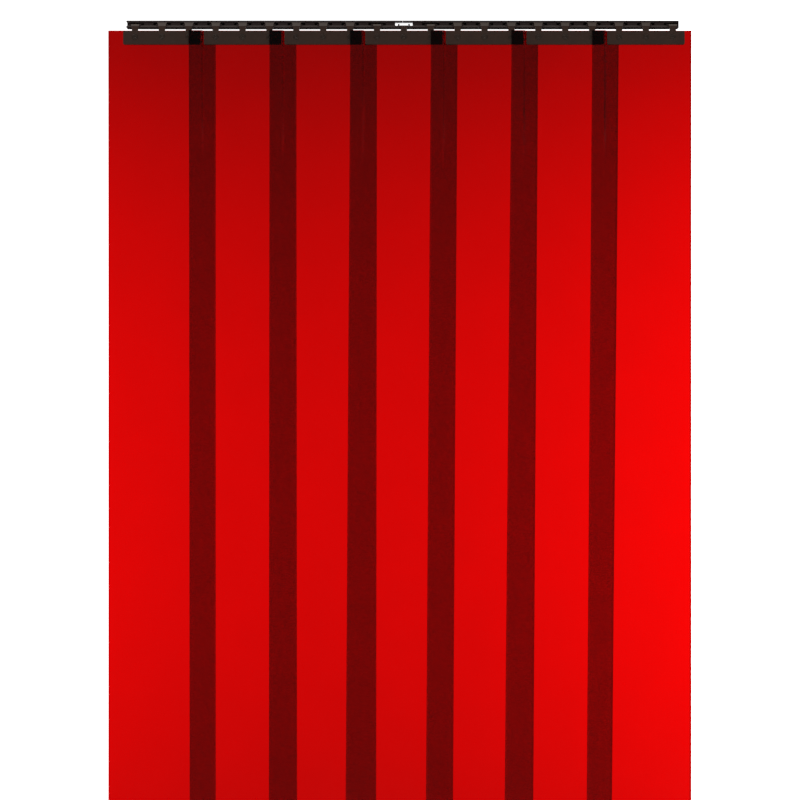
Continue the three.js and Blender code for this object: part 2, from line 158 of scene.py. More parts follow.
ROOF_UNDERSIDE = RAIL_TOP - ROOF_THICKNESS
NIB_TOP = BAR_RADIUS + NIB_HEIGHT
FRONT_MARGIN_Y = FRONT_FACE - MARGIN_CLEARANCE - STRIP_THICKNESS / 2
BACK_MARGIN_Y = BACK_FACE + MARGIN_CLEARANCE + STRIP_THICKNESS / 2
SEAM_X = (RAIL_LEFT[1].x + RAIL_RIGHT[0].x) / 2
LOCAL_HOOKS = [(i - (HOOKS_PER_STRIP - 1) / 2) * HOOK_PITCH for i in range(HOOKS_PER_STRIP)]
HOOK_COUNT = STRIP_COUNT * HOOKS_PER_STRIP
HOOKS = [(i - (HOOK_COUNT - 1) / 2) * HOOK_PITCH for i in range(HOOK_COUNT)]

# ---- How finely the shapes are drawn ----

# Steps round a whole turned piece, along a hook's curl, a corner or bend, and a strip's edge.
ROUND_STEPS = 48
ARC_STEPS = 20
CORNER_STEPS = 6
EDGE_STEPS = 3

# The longest step across a strip, in millimetres, and its rows between the plates, where its
# margins ease flat, and below.
LINE_STEP = 4.0
CLAMPED_ROWS = 4
RELAX_ROWS = 31
HANGING_ROWS = 70

# Steps round a screw's thread, rows for each pitch, and rows up the screw's head.
THREAD_STEPS = 32
THREAD_ROWS = 8
HEAD_ROWS = 9

# Faces that meet at less than the first angle are one face. Edges over the second are rounded.
FLAT_DEG = 0.5
EDGE_DEG = 28

# Points nearer than this are one, and a cutting solid passes the surface that it cuts by this.
MERGE_DISTANCE = 0.002
OVERSHOOT = 1

# ---- How the strips hang, in millimetres ----

# How far each strip leans to the left at its foot: a hung strip is never quite plumb.
LEANS = (0, -2, 2, 12, 13, 18, 14)

# The slow waves: share of the swell, length across, length down and place in the cycle.
SWELL_WAVES = ((1, 640, 2900, 0.15), (0.6, 310, -1700, 0.4), (0.35, 170, 900, 0))

# ---- Stage, in millimetres ----

FLOOR_DROP = 20
FLOOR_HALF_WIDTH = 20000
FLOOR_HALF_DEPTH = 4000
CAMERA_X = -7.25

# Each light's name, place and size in metres, and power in watts.
LIGHTS = (
    ("soft_key", (-1.6, -2.2, 2.2), 1.6, 36),
    ("soft_fill", (2.2, -1.8, 1.2), 1.4, 15),
)
LIGHT_TARGET = (0, 0, -0.4)


# ---- Settings ----


def linear(hex_colour):
    """An sRGB hex colour as linear red, green, blue and alpha."""
    parts = [int(hex_colour[i : i + 2], 16) / 255 for i in (1, 3, 5)]
    return [c / 12.92 if c <= 0.04045 else ((c + 0.055) / 1.055) ** 2.4 for c in parts] + [1.0]


class CurtainSizes(bpy.types.PropertyGroup):
    """Sizes of the finish and of the view, which the panel shows."""

    edge_round: FloatProperty(
        name="Edge round",
        description="Radius on the moulded edges of the rail and plates",
        default=0.35 * MM,
        min=0.0,
        unit="LENGTH",
    )
    wave: FloatProperty(
        name="Wave",
        description="How far the hanging strips swell to and fro, which all of them do together",
        default=2.2 * MM,
        min=0.0,
        unit="LENGTH",
    )
    thread_pitch: FloatProperty(
        name="Thread pitch",
        description="Pitch of the fixing screws' thread",
        default=1.7 * MM,
        min=0.5 * MM,
        unit="LENGTH",
    )
    camera_distance: FloatProperty(
        name="Camera distance",
        description="From the camera to the front of the rail",
        default=6.0,
        min=1.0,
        unit="LENGTH",
    )
    view_width: FloatProperty(
        name="View width",
        description="Width of the view at the curtain",
        default=1.488,
        min=0.1,
        unit="LENGTH",
    )
    view_height: FloatProperty(
        name="View height",
        description="Height of the camera above the rail's bar",
        default=-0.6942,
        unit="LENGTH",
    )


class CurtainColours(bpy.types.PropertyGroup):
    """Colours of the materials, which the panel shows."""

    pvc: StringProperty(
        name="PVC tint",
        description="Colour that one layer of the strip passes, as an sRGB hex value",
        default="#8b0000",
    )
    rail: StringProperty(
        name="Rail plastic",
        description="Colour of the moulded rail, as an sRGB hex value",
        default="#1c0c0a",
    )
    plate: StringProperty(
        name="Plate plastic",
        description="Colour of the moulded clamp plates, as an sRGB hex value",
        default="#2b190f",
    )
    rivet: StringProperty(
        name="Rivet plastic",
        description="Colour of the rivets, as an sRGB hex value",
        default="#26180f",
    )
    zinc: StringProperty(
        name="Zinc plate",
        description="Colour of the yellow passivated zinc on the screws, as an sRGB hex value",
        default="#d8b465",
    )
    floor: StringProperty(
        name="Floor",
        description="Colour of the studio floor, as an sRGB hex value",
        default="#e6e4e0",
    )


# ---- Materials ----


def add_node(tree, kind, inputs=None, **settings):
    """Adds a node with its settings. An input is a value, or the output socket that feeds it."""
    node = tree.nodes.new(kind)
    for name, value in settings.items():
        setattr(node, name, value)
    for name, value in (inputs or {}).items():
        if isinstance(value, bpy.types.NodeSocket):
            tree.links.new(value, node.inputs[name])
        else:
            node.inputs[name].default_value = value
    return node


def new_material(name):
    """An empty node material and its node tree."""
    material = bpy.data.materials.new(name)
    material.use_nodes = True
    material.node_tree.nodes.clear()
    return material, material.node_tree


def moulded_plastic(name, hex_colour, roughness):
    """Black glass-filled nylon from a spark-eroded mould: dark, even and dull, with a fine grain,
    faint flow clouds and pale dust specks, so that nothing looks wet. Faces that turn upwards are
    mixed towards the pale dust colour. This is a painted highlight standing in for light from above,
    and it also makes the edges show."""
    # The grain and the dust are drawn coarser than real, which is near 0.1 mm, so that they show.
    grain_mm = 0.35
    dust_mm = 1.4
    cloud_mm = 22
    cloud_dark, cloud_pale = 0.75, 1.3
    dust_and_highlight_colour = "#6f6862"
    # The pale colour of the dust specks, also used for the painted highlight on faces that turn
    # upwards.
    speck_start, speck_full, speck_cover = 0.6, 0.8, 0.3
    # Painted highlight: faces that turn upwards between these slopes are mixed this far towards the
    # pale colour, standing in for light from above.
    slope_start, slope_full, top_highlight_cover = 0.2, 0.6, 0.6
    smoother, rougher = 0.08, 0.12
    material, tree = new_material(name)
    place = add_node(tree, "ShaderNodeTexCoord").outputs["Object"]
    grain = add_node(
        tree, "ShaderNodeTexNoise", {"Vector": place, "Scale": 1 / (grain_mm * MM), "Detail": 3.0}
    )
    clouds = add_node(
        tree, "ShaderNodeTexNoise", {"Vector": place, "Scale": 1 / (cloud_mm * MM), "Detail": 4.0}
    )
    dust = add_node(
        tree, "ShaderNodeTexNoise", {"Vector": place, "Scale": 1 / (dust_mm * MM), "Detail": 6.0}
    )
    specks = add_node(
        tree,
        "ShaderNodeMapRange",
        {
            "Value": dust.outputs["Fac"],
            "From Min": speck_start,
            "From Max": speck_full,
            "To Max": speck_cover,
        },
    )
    normal = add_node(tree, "ShaderNodeNewGeometry").outputs["Normal"]
    upward = add_node(tree, "ShaderNodeSeparateXYZ", {"Vector": normal}).outputs["Z"]
    # Painted highlight on faces that turn upwards, standing in for light from above, not settled
    # dust.
    painted_top_highlight = add_node(
        tree,
        "ShaderNodeMapRange",
        {
            "Value": upward,
            "From Min": slope_start,
            "From Max": slope_full,
            "To Max": top_highlight_cover,
        },
    )
    # The real dust specks and the painted top highlight together.
    dust_and_top_highlight = add_node(
        tree,
        "ShaderNodeMath",
        {0: painted_top_highlight.outputs["Result"], 1: specks.outputs["Result"]},
        operation="MAXIMUM",
    )
    plain = linear(hex_colour)[:3]
    dark = (*(part * cloud_dark for part in plain), 1)
    pale = (*(part * cloud_pale for part in plain), 1)
    base = add_node(tree, "ShaderNodeMix", {"Factor": clouds.outputs["Fac"]}, data_type="RGBA")
    colour_socket(base, "A").default_value = dark
    colour_socket(base, "B").default_value = pale
    dust_and_highlight_mix = add_node(tree, "ShaderNodeMix", {"Factor": dust_and_top_highlight.outputs[0]}, data_type="RGBA")
    tree.links.new(base.outputs[2], colour_socket(dust_and_highlight_mix, "A"))
    colour_socket(dust_and_highlight_mix, "B").default_value = linear(dust_and_highlight_colour)
    rough = add_node(
        tree,
        "ShaderNodeMapRange",
        {
            "Value": grain.outputs["Fac"],
            "To Min": roughness - smoother,
            "To Max": roughness + rougher,
        },
    )
    bump = add_node(
        tree,
        "ShaderNodeBump",
        {"Height": grain.outputs["Fac"], "Strength": 0.25, "Distance": 0.06 * MM},
    )
    shader = add_node(
        tree,
        "ShaderNodeBsdfPrincipled",
        {
            "Base Color": dust_and_highlight_mix.outputs[2],
            "Roughness": rough.outputs["Result"],
            "Normal": bump.outputs["Normal"],
            "Specular IOR Level": 0.25,
            "IOR": 1.5,
        },
    )
    add_node(tree, "ShaderNodeOutputMaterial", {"Surface": shader.outputs["BSDF"]})
    return material


def colour_socket(mix, name):
    """The colour input of a Mix node, which has inputs of the same name for each kind of value."""
    return next(s for s in mix.inputs if s.name == name and s.type == "RGBA")


def tinted_pvc(name, hex_colour):
    """Calendered soft PVC, dyed right through: it passes red light only, so two layers are far
    darker than one. Its faces are smooth, with faint roll lines and smears. The mirror tint keeps
    the studio's reflection weaker than PVC's real one."""
    streak_mm = 14
    streak_stretch = 0.06
    smear_mm = 70
    smear_deep, smear_pale, smear_green = 0.96, 1.04, 1.4
    mirror_tint = 0.12
    material, tree = new_material(name)
    place = add_node(tree, "ShaderNodeTexCoord").outputs["Object"]
    along = add_node(
        tree, "ShaderNodeMapping", {"Vector": place, "Scale": (1.0, 1.0, streak_stretch)}
    )
    streaks = add_node(
        tree,
        "ShaderNodeTexNoise",
        {"Vector": along.outputs["Vector"], "Scale": 1 / (streak_mm * MM), "Detail": 3.0},
    )
    smears = add_node(
        tree, "ShaderNodeTexNoise", {"Vector": place, "Scale": 1 / (smear_mm * MM), "Detail": 5.0}
    )
    red, green, blue, _ = linear(hex_colour)
    tint = add_node(tree, "ShaderNodeMix", {"Factor": smears.outputs["Fac"]}, data_type="RGBA")
    colour_socket(tint, "A").default_value = (red * smear_deep, green, blue, 1)
    pale = (red * smear_pale, green * smear_green, blue, 1)
    colour_socket(tint, "B").default_value = pale
    rough = add_node(
        tree,
        "ShaderNodeMapRange",
        {"Value": smears.outputs["Fac"], "To Min": 0.03, "To Max": 0.1},
    )
    bump = add_node(
        tree,
        "ShaderNodeBump",
        {"Height": streaks.outputs["Fac"], "Strength": 0.3, "Distance": 0.15 * MM},
    )
    shader = add_node(
        tree,
        "ShaderNodeBsdfPrincipled",
        {
            "Base Color": tint.outputs[2],
            "Roughness": rough.outputs["Result"],
            "Normal": bump.outputs["Normal"],
            "Transmission Weight": 1.0,
            "Specular Tint": (mirror_tint, mirror_tint, mirror_tint, 1.0),
            "IOR": 1.53,
        },
    )
    add_node(tree, "ShaderNodeOutputMaterial", {"Surface": shader.outputs["BSDF"]})
    return material


def yellow_zinc(name, hex_colour):
    """Steel, zinc plated and yellow passivated: a soft golden metal with green and pink blooms."""
    bloom_mm = 3
    green_bloom, pink_bloom = "#c9b062", "#dba96e"
    material, tree = new_material(name)
    place = add_node(tree, "ShaderNodeTexCoord").outputs["Object"]
    bloom = add_node(
        tree, "ShaderNodeTexNoise", {"Vector": place, "Scale": 1 / (bloom_mm * MM), "Detail": 4.0}
    )
    ramp = add_node(tree, "ShaderNodeValToRGB", {"Fac": bloom.outputs["Fac"]})
    ramp.color_ramp.elements[0].position = 0.35
    ramp.color_ramp.elements[0].color = linear(green_bloom)
    ramp.color_ramp.elements[1].position = 0.7
    ramp.color_ramp.elements[1].color = linear(pink_bloom)
    ramp.color_ramp.elements.new(0.5).color = linear(hex_colour)
    rough = add_node(
        tree,
        "ShaderNodeMapRange",
        {"Value": bloom.outputs["Fac"], "To Min": 0.22, "To Max": 0.42},
    )
    shader = add_node(
        tree,
        "ShaderNodeBsdfPrincipled",
        {
            "Base Color": ramp.outputs["Color"],
            "Roughness": rough.outputs["Result"],
            "Metallic": 1.0,
        },
    )
    add_node(tree, "ShaderNodeOutputMaterial", {"Surface": shader.outputs["BSDF"]})
    return material


def painted_floor(name, hex_colour):
    """A pale painted studio floor, matt, with the faint mottle of a roller."""
    mottle_mm = 180
    mottle_dark = 0.97
    material, tree = new_material(name)
    place = add_node(tree, "ShaderNodeTexCoord").outputs["Object"]
    mottle = add_node(
        tree, "ShaderNodeTexNoise", {"Vector": place, "Scale": 1 / (mottle_mm * MM), "Detail": 4.0}
    )
    pale = linear(hex_colour)
    base = add_node(tree, "ShaderNodeMix", {"Factor": mottle.outputs["Fac"]}, data_type="RGBA")
    colour_socket(base, "A").default_value = (*(part * mottle_dark for part in pale[:3]), 1)
    colour_socket(base, "B").default_value = pale
    shader = add_node(
        tree,
        "ShaderNodeBsdfPrincipled",
        {"Base Color": base.outputs[2], "Roughness": 0.7},
    )
    add_node(tree, "ShaderNodeOutputMaterial", {"Surface": shader.outputs["BSDF"]})
    return material


# ---- Solids ----


def mesh_of(name, points_mm, faces):
    """A mesh from points in millimetres."""
    mesh = bpy.data.meshes.new(name)
    mesh.from_pydata([tuple(c * MM for c in point) for point in points_mm], [], faces)
    mesh.validate()
    return mesh


def prism(outline, axis, low, high):
    """A closed prism along an axis. Its outline is in (y, z) for X, (x, z) for Y, (x, y) for Z."""
    place = {
        "X": lambda u, v, w: (w, u, v),
        "Y": lambda u, v, w: (u, w, v),
        "Z": lambda u, v, w: (u, v, w),
    }[axis]
    count = len(outline)
    points = [place(u, v, w) for w in (low, high) for u, v in outline]
    sides = [(i, (i + 1) % count, count + (i + 1) % count, count + i) for i in range(count)]
    ends = [tuple(reversed(range(count))), tuple(range(count, 2 * count))]
    return outward(mesh_of("prism", points, sides + ends))


def outward(mesh):
    """The same mesh with all its faces pointing out."""
    work = bmesh.new()
    work.from_mesh(mesh)
    bmesh.ops.recalc_face_normals(work, faces=work.faces)
    work.to_mesh(mesh)
    work.free()
    return mesh


def block(x0, x1, y0, y1, z0, z1):
    """A box from its limits."""
    return prism([(x0, y0), (x1, y0), (x1, y1), (x0, y1)], "Z", z0, z1)


def ringed(name, first_y, last_y, rings):
    """A closed solid from rings of radii about Y, with a middle point at each end.

    Each ring is its y and its radii, evenly spaced round the axis.
    """
    count = len(rings[0][1])
    points = [(0, first_y, 0), (0, last_y, 0)]
    for y, radii in rings:
        for i, radius in enumerate(radii):
            angle = 2 * math.pi * i / count
            points.append((radius * math.cos(angle), y, radius * math.sin(angle)))
    faces = []
    last = 2 + (len(rings) - 1) * count
    for i in range(count):
        j = (i + 1) % count
        faces.append((0, 2 + i, 2 + j))
        faces.append((1, last + j, last + i))
        for a in range(2, last, count):
            faces.append((a + i, a + count + i, a + count + j, a + j))
    return outward(mesh_of(name, points, faces))


def turned(profile):
    """A solid of revolution about Y from (radius, y) pairs. The first and last lie on the axis."""
    rings = [(y, [radius] * ROUND_STEPS) for radius, y in profile if radius > 0]
    return ringed("turned", profile[0][1], profile[-1][1], rings)


def moved(mesh, x, y, z):
    """The same mesh, shifted by millimetres."""
    mesh.transform(Matrix.Translation(Vector((x, y, z)) * MM))
    return mesh


def together(meshes):
    """Several meshes in one, as they are."""
    work = bmesh.new()
    for mesh in meshes:
        work.from_mesh(mesh)
    made = bpy.data.meshes.new("together")
    work.to_mesh(made)
    work.free()
    return made


def combined(base, tool, operation, overlapping=False):
    """A solid with another one joined to it, cut from it or laid over it."""
    objects = [bpy.data.objects.new("bench", mesh) for mesh in (base, tool)]
    for made in objects:
        bpy.context.scene.collection.objects.link(made)
    step = objects[0].modifiers.new("step", "BOOLEAN")
    step.operation = operation
    step.object = objects[1]
    step.solver = "EXACT"
    step.use_self = overlapping
    depsgraph = bpy.context.evaluated_depsgraph_get()
    evaluated = objects[0].evaluated_get(depsgraph)
    result = bpy.data.meshes.new_from_object(evaluated, depsgraph=depsgraph)
    for made in objects:
        bpy.data.objects.remove(made)
    return result


def cleaned(mesh):
    """The mesh with its doubled points merged and its flat faces whole again."""
    work = bmesh.new()
    work.from_mesh(mesh)
    bmesh.ops.remove_doubles(work, verts=work.verts, dist=MERGE_DISTANCE * MM)
    bmesh.ops.dissolve_limit(
        work, angle_limit=math.radians(FLAT_DEG), verts=work.verts, edges=work.edges
    )
    work.to_mesh(mesh)
    work.free()
    return mesh


def piece(name, mesh, material, body, replaced):
    """Puts a finished mesh in the scene as one piece that rides on a body and stands for a node."""
    mesh.name = name
    mesh.materials.clear()
    mesh.materials.append(material)
    made = bpy.data.objects.new(name, mesh)
    bpy.context.scene.collection.objects.link(made)
    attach(made, body)
    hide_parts(replaced)
    return made


def rounded_edges(made, radius):
    """Rounds the sharp edges of a moulded piece and smooths the rest."""
    made.data.shade_smooth()
    bevel = made.modifiers.new("edge_round", "BEVEL")
    bevel.width = radius
    bevel.segments = 2
    bevel.limit_method = "ANGLE"
    bevel.angle_limit = math.radians(EDGE_DEG)
    normals = made.modifiers.new("flat_faces", "WEIGHTED_NORMAL")
    normals.keep_sharp = True


def arc(radius, from_deg, to_deg, steps, centre=(0, 0)):
    """Points along an arc of a circle, both ends included."""
    angles = np.radians(np.linspace(from_deg, to_deg, steps + 1))
    return [(centre[0] + radius * math.cos(a), centre[1] + radius * math.sin(a)) for a in angles]


def rounded_rectangle(x0, x1, z0, z1, radius):
    """The outline of a rectangle with round corners."""
    return (
        arc(radius, -90, 0, CORNER_STEPS, (x1 - radius, z0 + radius))
        + arc(radius, 0, 90, CORNER_STEPS, (x1 - radius, z1 - radius))
        + arc(radius, 90, 180, CORNER_STEPS, (x0 + radius, z1 - radius))
        + arc(radius, 180, 270, CORNER_STEPS, (x0 + radius, z0 + radius))
    )


# ---- Rail ----


def crosses_seam(x):
    """Whether a hook at x would reach over the joint between the rail's sections."""
    return abs(x - SEAM_X) < HOOK_WIDTH / 2


def rail_section(start, end, has_end_web):
    """Back wall, roof, hook bar, pillars, ribs and nibs in one moulding."""
    bar = arc(BAR_RADIUS, 0, 360, 2 * ARC_STEPS, (BAR_Y, 0))[:-1]
    solids = [
        block(start, end, -BACK_THICKNESS, 0, RAIL_BOTTOM, RAIL_TOP),
        block(start, end, RAIL_FRONT, 0, ROOF_UNDERSIDE, RAIL_TOP),
        prism(bar, "X", start, end),
    ]
    pillar_half = (HOOK_PITCH - WINDOW_WIDTH) / 2
    rib_half = RIB_THICKNESS / 2
    for x in (hook + HOOK_PITCH / 2 for hook in HOOKS):
        if x - pillar_half > start and x + pillar_half < end:
            face = RAIL_FRONT + PILLAR_SETBACK
            back = face + PILLAR_DEPTH
            solids.append(block(x - pillar_half, x + pillar_half, face, back, 0, RAIL_TOP))
            solids.append(block(x - rib_half, x + rib_half, face, 0, RIB_LIFT, RAIL_TOP))
    inner = HOOK_WIDTH / 2 + NIB_CLEARANCE
    nib_front = RAIL_FRONT + NIB_SETBACK
    for x in HOOKS:
        for side in (-1, 1):
            low, high = sorted((x + side * inner, x + side * (inner + NIB_WIDTH)))
            low, high = max(low, start), min(high, end)
            if high > low:
                solids.append(block(low, high, nib_front, nib_front + NIB_DEPTH, 0, NIB_TOP))
    if has_end_web:
        solids.append(block(end - END_WEB, end, RAIL_FRONT, 0, RIB_LIFT, RAIL_TOP))
    cuts = []
    in_front = -BACK_THICKNESS - OVERSHOOT
    for x in filter(crosses_seam, HOOKS):
        half = WINDOW_WIDTH / 2
        cuts.append(block(x - half, x + half, in_front, OVERSHOOT, BAR_RADIUS, ROOF_UNDERSIDE))
    for low, high in SCREWS.values():
        radius = SCREW_RADIUS + SCREW_CLEARANCE
        x, z = (low.x + high.x) / 2, (low.z + high.z) / 2
        hole = turned([(0, in_front), (radius, in_front), (radius, OVERSHOOT), (0, OVERSHOOT)])
        cuts.append(moved(hole, x, 0, z))
    whole = block(start, end, RAIL_FRONT, 0, RAIL_BOTTOM, RAIL_TOP)
    solid = combined(whole, together(solids), "INTERSECT", overlapping=True)
    return cleaned(combined(solid, together(cuts), "DIFFERENCE"))


class CURTAIN_OT_rail(bpy.types.Operator):
    """Builds the two moulded sections of the header rail, with sharper edges than the plates."""

    bl_idname = "curtain.rail"
    bl_label = "Header rail"

    def execute(self, context):
        colours, sizes = context.scene.curtain_colours, context.scene.curtain_sizes
        edge_share = 0.6
        plastic = moulded_plastic("moulded_nylon_rail", colours.rail, 0.5)
        for side, (low, high) in (("left", RAIL_LEFT), ("right", RAIL_RIGHT)):
            mesh = rail_section(low.x, high.x, side == "right")
            node = f"rail_section_{side}"
            made = piece(f"moulded_{node}", mesh, plastic, "header_rail", node)
            rounded_edges(made, sizes.edge_round * edge_share)
        return {"FINISHED"}


# ---- Screws ----


def screw_mesh(length, thread_pitch):
    """A pan head with a cross recess, and a threaded shank with a point, along +Y."""
    flatness = 0.6
    reach, thickness, floor = 2.0, 0.4, -1.2
    head = [
        (SCREW_HEAD_RADIUS * math.sin(a), -SCREW_HEAD_HEIGHT * math.cos(a) ** flatness)
        for a in np.linspace(0, math.pi / 2, HEAD_ROWS)[:-1]
    ]
    head += [(SCREW_HEAD_RADIUS, 0), (0, 0)]
    recess = []
    for turn in (0, math.pi / 2):
        top = -SCREW_HEAD_HEIGHT - OVERSHOOT
        blade = block(-reach, reach, top, floor, -thickness, thickness)
        blade.transform(Matrix.Rotation(turn, 4, "Y"))
        recess.append(blade)
    capped = combined(turned(head), together(recess), "DIFFERENCE", overlapping=True)
    return together([cleaned(capped), thread_mesh(length - SCREW_HEAD_HEIGHT, thread_pitch)])


def thread_mesh(length, pitch):
    """A helical thread: the radius follows a sharp crest that climbs one pitch each turn.

    The shank starts inside the head, is plain at first, and tapers to a blunt point.
    """
    start, last = -0.4, length - 0.1
    plain = 3.0
    depth = 0.55
    crest_half = 0.3
    blunt = 0.2
    rows = int(length / pitch * THREAD_ROWS)
    rings = []
    for row in range(rows):
        y = start + (last - start) * row / (rows - 1)
        taper = min(1.0, (length + blunt - y) / SCREW_TIP)
        threaded = min(1.0, max(0.0, (y - plain) / pitch))
        radii = []
        for i in range(THREAD_STEPS):
            phase = (y / pitch - i / THREAD_STEPS) % 1.0
            crest = max(0.0, 1 - abs(phase - 0.5) / crest_half)
            radii.append((SCREW_RADIUS - depth * threaded * (1 - crest)) * taper)
        rings.append((y, radii))
    return ringed("thread", start, length, rings)


class CURTAIN_OT_screws(bpy.types.Operator):
    """Builds the four fixing screws."""

    bl_idname = "curtain.screws"
    bl_label = "Fixing screws"

    def execute(self, context):
        colours, sizes = context.scene.curtain_colours, context.scene.curtain_sizes
        zinc = yellow_zinc("yellow_passivated_zinc", colours.zinc)
        for node, (low, high) in SCREWS.items():
            mesh = screw_mesh(high.y - low.y, sizes.thread_pitch / MM)
            x, z = (low.x + high.x) / 2, (low.z + high.z) / 2
            moved(mesh, x, low.y + SCREW_HEAD_HEIGHT, z)
            mesh.shade_smooth()
            mesh.set_sharp_from_angle(angle=math.radians(35))
            piece(f"zinc_{node}", mesh, zinc, "header_rail", node)
        return {"FINISHED"}


# ---- Plates ----


def slant_x(side, face_middle, y):
    """Where, at a given y, the middle line of a slanting margin passes between two plates."""
    return side * STRIP_PITCH / 2 + (y - face_middle) / math.tan(SLANT)


def plate_blank(near, far):
    """A plate without hooks or bores, between two depths."""
    outline = rounded_rectangle(PLATE_LOW.x, PLATE_HIGH.x, PLATE_BOTTOM, PLATE_TOP, PLATE_CORNER)
    return prism(outline, "Y", *sorted((near, far)))


def hook_side():
    """A hook's side view: the neck, and the curl over the bar and down behind it."""
    tail = -HOOK_TAIL_DEG
    foot = PLATE_TOP - HOOK_ROOT
    outer = arc(HOOK_OUTER, 180, tail, ARC_STEPS)
    inner = arc(HOOK_INNER, tail, 180, ARC_STEPS)
    return [(-HOOK_OUTER, foot)] + outer + inner + [(-HOOK_INNER, foot)]


def tab_side():
    """The side view of the finger tab on top of the curl."""
    foot = []
    for degrees in TAB_FOOT_DEG:
        angle = math.radians(degrees)
        radius = HOOK_OUTER - TAB_BITE
        foot.append((radius * math.cos(angle), radius * math.sin(angle)))
    return foot + [(TAB_TIP[1], TAB_REACH), (TAB_TIP[0], TAB_REACH)]


def hook_front(x):
    """A hook's front view: the neck widens to the curl, and the curl to the tab."""
    half = [
        (NECK_WIDTH / 2, PLATE_TOP - HOOK_ROOT),
        (NECK_WIDTH / 2, -BAR_RADIUS),
        (HOOK_WIDTH / 2, BAR_RADIUS / 2),
        (HOOK_WIDTH / 2, NIB_TOP + HOOK_CLEARANCE),
        (TAB_WIDTH / 2, TAB_REACH),
    ]
    return [(x + u, v) for u, v in half] + [(x - u, v) for u, v in reversed(half)]


def hook(x, has_tab):
    """A hook where its front and side views meet."""
    half = TAB_WIDTH / 2
    outlines = (hook_side(), tab_side()) if has_tab else (hook_side(),)
    sides = together([prism(outline, "X", x - half, x + half) for outline in outlines])
    reach = HOOK_OUTER + OVERSHOOT
    return combined(prism(hook_front(x), "Y", -reach, reach), sides, "INTERSECT", overlapping=True)


def tongue(x):
    """At the rail's seam the hook is cut off level with the top of the bar, in front of it."""
    half = HOOK_WIDTH / 2
    front = block(x - half, x + half, -HOOK_OUTER - OVERSHOOT, 0, PLATE_TOP - HOOK_ROOT, BAR_RADIUS)
    return combined(hook(x, False), front, "INTERSECT")


def rivet_bore(x, y_shank, y_seat, y_open, seat_radius):
    """The stepped hole that a rivet's shank and one of its ends lie in."""
    shank, seat = RIVET_RADIUS + RIVET_CLEARANCE, seat_radius + RIVET_CLEARANCE
    profile = [(0, y_shank), (shank, y_shank), (shank, y_seat), (seat, y_seat), (seat, y_open)]
    return moved(turned(profile + [(0, y_open)]), x, 0, RIVET_Z)


def is_over_screw(x):
    """A hook in front of a fixing screw has no tab, so that the screw's head can be reached."""
    return any(low.x < x < high.x for low, high in SCREWS.values())


def front_plate(middle_x):
    """A front plate about its own middle, with the hooks that its place on the rail calls for."""
    sink = FRONT_FACE + RIVET_HEAD_THICKNESS + RIVET_CLEARANCE
    plate = moved(plate_blank(-INNER_FACE, FRONT_FACE), 0, STRIP_OFFSET, 0)
    hooks = []
    for x in LOCAL_HOOKS:
        row_x = middle_x + x
        hooks.append(tongue(x) if crosses_seam(row_x) else hook(x, not is_over_screw(row_x)))
    plate = combined(plate, together(hooks), "UNION")
    bores = [
        rivet_bore(x, 0, sink, FRONT_FACE - OVERSHOOT, RIVET_HEAD_RADIUS) for x in LOCAL_HOOKS
    ]
    return cleaned(combined(plate, moved(together(bores), 0, STRIP_OFFSET, 0), "DIFFERENCE"))


def back_plate():
    """A back plate about its own middle."""
    sink = BACK_FACE - RIVET_TAIL_THICKNESS - RIVET_CLEARANCE
    bores = [
        rivet_bore(x, 0, sink, BACK_FACE + OVERSHOOT, RIVET_TAIL_RADIUS) for x in LOCAL_HOOKS
    ]
    plate = combined(plate_blank(INNER_FACE, BACK_FACE), together(bores), "DIFFERENCE")
    return cleaned(moved(plate, 0, STRIP_OFFSET, 0))


def strip_x(number):
    """The x of a strip's middle hook, in millimetres."""
    return JOINTS[f"hung_strip_{number}"][0] / MM


class CURTAIN_OT_plates(bpy.types.Operator):
    """Builds the front plates with their hooks, and the back plates."""

    bl_idname = "curtain.plates"
    bl_label = "Clamp plates"

    def execute(self, context):
        colours, sizes = context.scene.curtain_colours, context.scene.curtain_sizes
        plastic = moulded_plastic("moulded_nylon_plate", colours.plate, 0.45)
        back = back_plate()
        for number in range(1, STRIP_COUNT + 1):
            body = f"hung_strip_{number}"
            x = strip_x(number)
            for side, mesh in (("front", front_plate(x)), ("back", back.copy())):
                node = f"{side}_plate_{number}"
                placed = moved(mesh, x, BAR_Y, 0)
                made = piece(f"moulded_{node}", placed, plastic, body, node)
                rounded_edges(made, sizes.edge_round)
        return {"FINISHED"}


# ---- Rivets ----


def rivet_mesh():
    """A ringed head with a centre dimple, a shank, and a rolled tail with an open end."""
    head, tail = RIVET_HEAD_RADIUS, RIVET_TAIL_RADIUS
    under_head = FRONT_FACE + RIVET_HEAD_THICKNESS
    under_tail = BACK_FACE - RIVET_TAIL_THICKNESS
    profile = [
        (0, FRONT_FACE + 0.9),
        (0.9, FRONT_FACE + 0.85),
        (1.15, FRONT_FACE + 0.3),
        (1.45, FRONT_FACE + 0.12),
        (2.6, FRONT_FACE + 0.12),
        (2.85, FRONT_FACE + 0.5),
        (3.35, FRONT_FACE + 0.5),
        (3.6, FRONT_FACE + 0.05),
        (4.0, FRONT_FACE),
        (head - 0.5, FRONT_FACE),
        (head - 0.15, FRONT_FACE + 0.15),
        (head, FRONT_FACE + 0.5),
        (head, under_head),
        (RIVET_RADIUS, under_head),
        (RIVET_RADIUS, under_tail),
        (tail, under_tail),
        (tail, BACK_FACE - 0.35),
        (tail - 0.3, BACK_FACE - 0.05),
        (tail - 0.8, BACK_FACE),
        (2.0, BACK_FACE - 0.1),
        (1.6, BACK_FACE - 0.5),
        (1.5, BACK_FACE - 1.6),
        (0, BACK_FACE - 1.8),
    ]
    return turned(profile)


